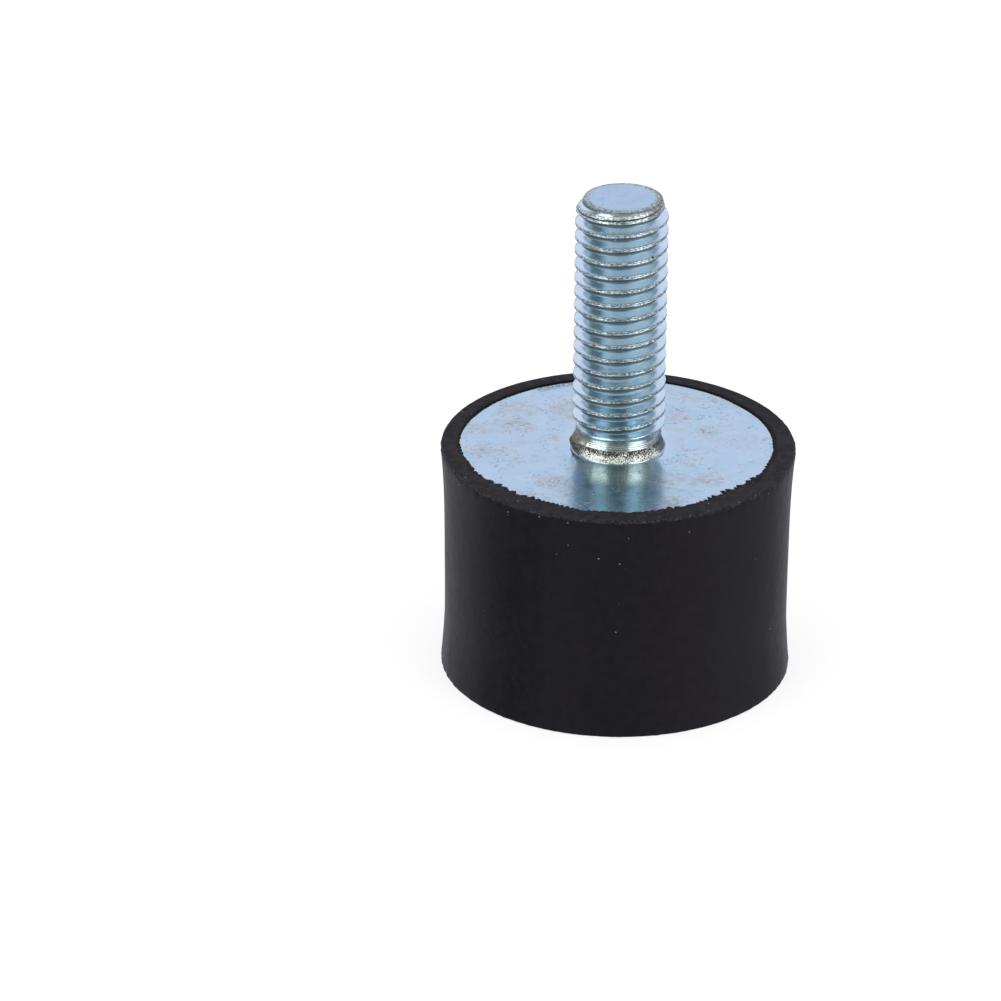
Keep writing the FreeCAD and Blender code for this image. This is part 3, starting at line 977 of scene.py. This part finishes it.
studio = {
    "floorDrop": 0.00002,
    "floorSize": 6.0,
    "floorShade": 0.42,  # share of the floor's white that shadows can take away
    "floorGlow": 0.69,
    "plainLight": 0.85,  # world's strength for matt surfaces
    "horizon": (-0.03, 0.05),  # heights of a direction between which floor gives way to room
    "sweep": ((0.0, 1.0), (0.62, 1.0), (0.72, 0.78), (0.86, 0.62), (1.0, 0.55)),
    "frontShade": 0.30,  # the room behind the camera, over the horizon
    "frontWidth": (95, 130),  # degrees from the camera's heading, where it gives way to the sweep
    "panels": (24, 36, 58, 88),  # headings between which two bright panels stand
    "panelTop": (0.9, 0.7),
    "panelGlow": 2.75,
    "leftPanel": 0.90,  # the left one's share of that
    "backTint": (0.97, 0.97, 1.09),  # colours of what metal mirrors behind the part,
    "frontTint": (1.0, 0.99, 0.97),  # in front of it
    "upperTint": (0.95, 1.0, 0.95),  # and over the horizon there,
    "dimTint": (0.86, 1.04, 1.0),  # and in the dim room
    "floorGap": (18, 34),  # headings over which the floor's dark gap ends
    "floorGapShade": 0.8,
    "farFloor": 0.55,
    "farHeadings": (100, 135),
    "leftShade": (-108, -92, -62, -44),  # headings between which the floor is darker
    "leftShadeDepth": 0.75,
    "rightShade": (80, 108, 132, 156),
    "rightShadeDepth": 0.40,
    "lampPower": 0.45,
    "lampDistance": 0.6,
    "lampSize": (0.30, 0.5),
    "lampHeading": 48,  # degrees to each side of the camera
    "lampHeight": 38,
}


def makeFloor():
    mesh = bpy.data.meshes.new("floor")
    half = studio["floorSize"] / 2
    low = -studio["floorDrop"]
    corners = [(-half, -half, low), (half, -half, low), (half, half, low), (-half, half, low)]
    mesh.from_pydata(corners, [], [(0, 1, 2, 3)])
    floor = bpy.data.objects.new("floor", mesh)
    bpy.context.scene.collection.objects.link(floor)
    # the world below the horizon lights the part in the floor's place, so the end that it
    # stands on is lit when it is looked at from below
    floor.visible_diffuse = False
    floor.visible_glossy = False
    floor.visible_transmission = False
    floor.visible_shadow = False
    material = bpy.data.materials.new("paleFloor")
    material.use_nodes = True
    made = Wiring(material.node_tree)
    shade = studio["floorShade"]
    matt = made.add("ShaderNodeBsdfDiffuse", {"Color": (shade, shade, shade, 1)}).outputs[0]
    glow = made.add("ShaderNodeEmission", {"Strength": studio["floorGlow"]}).outputs[0]
    both = made.add("ShaderNodeAddShader", {0: matt, 1: glow}).outputs[0]
    clear = made.add("ShaderNodeBsdfTransparent").outputs[0]
    side = made.add("ShaderNodeNewGeometry").outputs["Backfacing"]
    shown = made.add("ShaderNodeMixShader", {0: side, 1: both, 2: clear}).outputs[0]
    made.add("ShaderNodeOutputMaterial", {0: shown})
    mesh.materials.append(material)


def makeWorld():
    # white to the camera and plain to matt surfaces; what metal mirrors is a white sweep that
    # dims from about 38 degrees up, a dim room with two bright panels on the camera's side, and
    # a white floor with a dark gap towards the camera and darker places on both sides
    world = bpy.data.worlds.new("studio")
    bpy.context.scene.world = world
    world.use_nodes = True
    made = Wiring(world.node_tree)
    direction = made.add("ShaderNodeTexCoord").outputs["Generated"]
    x, y, z = made.add("ShaderNodeSeparateXYZ", {0: direction}).outputs
    heading = made.calc("ARCTAN2", x, made.calc("MULTIPLY", y, -1.0))
    heading = made.calc("DEGREES", heading)
    aside = made.calc("ABSOLUTE", heading)

    ramp = made.add("ShaderNodeValToRGB", {0: z})
    stops = ramp.color_ramp.elements
    while len(stops) < len(studio["sweep"]):
        stops.new(0.5)
    for stop, (place, value) in zip(stops, studio["sweep"]):
        stop.position = place
        stop.color = (value, value, value, 1)
    sweep = made.calc("ADD", ramp.outputs[0], 0.0)
    upper = made.between(made.span(aside, *studio["frontWidth"]), studio["frontShade"], sweep)
    begin, full, fade, end = studio["panels"]
    panels = made.product(made.span(aside, begin, full), made.span(aside, end, fade))
    panels = made.product(panels, made.span(z, *studio["panelTop"]))
    panels = made.product(panels, made.span(heading, -10, 10, studio["leftPanel"], 1.0))
    upper = made.most(upper, made.product(panels, studio["panelGlow"]))

    lower = made.span(aside, *studio["floorGap"], studio["floorGapShade"], 1.0)
    far = made.span(aside, *studio["farHeadings"], 1.0, studio["farFloor"])
    lower = made.product(lower, far)
    for side in ("leftShade", "rightShade"):
        begin, full, fade, end = studio[side]
        dark = made.product(made.span(heading, begin, full), made.span(heading, end, fade))
        dark = made.product(dark, studio[side + "Depth"])
        lower = made.product(lower, made.calc("SUBTRACT", 1.0, dark))
    mirrored = made.between(made.span(z, *studio["horizon"]), lower, upper)

    path = made.add("ShaderNodeLightPath").outputs
    glossy = made.most(path["Is Glossy Ray"], path["Is Transmission Ray"])
    light = made.between(glossy, studio["plainLight"], mirrored)
    light = made.between(path["Is Camera Ray"], light, 1.0)
    front = made.span(aside, *studio["frontWidth"][::-1])
    ahead = made.blend(made.span(z, 0.0, 0.15), studio["frontTint"], studio["upperTint"])
    tint = made.blend(front, studio["backTint"], ahead)
    tint = made.blend(made.product(front, made.span(mirrored, 1.0, 0.4)), tint, studio["dimTint"])
    tint = made.blend(glossy, (1.0, 1.0, 1.0), tint)
    background = made.add("ShaderNodeBackground", {"Color": tint, "Strength": light}).outputs[0]
    made.add("ShaderNodeOutputWorld", {0: background})


def makeLamp(name, heading, height):
    # soft light for the matt surfaces and for the shadow; metal mirrors the world's panels
    light = bpy.data.lights.new(name, "AREA")
    light.shape = "RECTANGLE"
    light.size, light.size_y = studio["lampSize"]
    light.energy = studio["lampPower"]
    lamp = bpy.data.objects.new(name, light)
    lamp.visible_camera = False
    lamp.visible_glossy = False
    around, up = math.radians(heading), math.radians(height)
    away = Vector((math.sin(around) * math.cos(up), -math.cos(around) * math.cos(up), math.sin(up)))
    lamp.location = Vector((0, 0, bodyTop * mm)) + away * studio["lampDistance"]
    lamp.rotation_euler = away.to_track_quat("Z", "Y").to_euler()
    bpy.context.scene.collection.objects.link(lamp)


cameraView = {
    "imageSize": 1001,
    "lens": 227.57,  # mm, on a 36 mm wide film
    "filmWidth": 36.0,
    "distance": 0.5382,  # from the aim point
    "aimHeight": 0.010,  # the aim point is on the axis, halfway up the rubber
    "aimPixel": (616.4, 551.82),  # where that point lies in the picture
    "elevation": 26.15,  # degrees
    "roll": 0.958,  # degrees, so that the stud leans to the right
}


def makeCamera():
    # the camera stands on the -Y side; it is rolled, then turned until the aim point falls on
    # its pixel
    made = bpy.data.cameras.new("camera")
    made.lens = cameraView["lens"]
    made.sensor_width = cameraView["filmWidth"]
    made.clip_start, made.clip_end = 0.01, 20
    up = math.radians(cameraView["elevation"])
    back = Vector((0, -math.cos(up), math.sin(up)))
    over = Vector((0, math.sin(up), math.cos(up)))
    level = Matrix((Vector((1, 0, 0)), over, back)).transposed()
    rolled = Matrix.Rotation(math.radians(cameraView["roll"]), 3, "Z")
    size = cameraView["imageSize"]
    focal = cameraView["lens"] / cameraView["filmWidth"] * size
    across = (cameraView["aimPixel"][0] - size / 2) / focal
    down = (cameraView["aimPixel"][1] - size / 2) / focal
    panned = Vector((across, -down, -1)).rotation_difference(Vector((0, 0, -1))).to_matrix()
    camera = bpy.data.objects.new("camera", made)
    aim = Vector((0, 0, cameraView["aimHeight"]))
    camera.matrix_world = Matrix.Translation(aim + back * cameraView["distance"]) @ (
        level @ rolled @ panned
    ).to_4x4()
    bpy.context.scene.collection.objects.link(camera)
    bpy.context.scene.camera = camera


makeFloor()
makeWorld()
makeLamp("leftLamp", -studio["lampHeading"], studio["lampHeight"])
makeLamp("rightLamp", studio["lampHeading"], studio["lampHeight"])
makeCamera()
bpy.context.scene.view_settings.view_transform = "Standard"
print("studio ready")

bpy.context.view_layer.update()
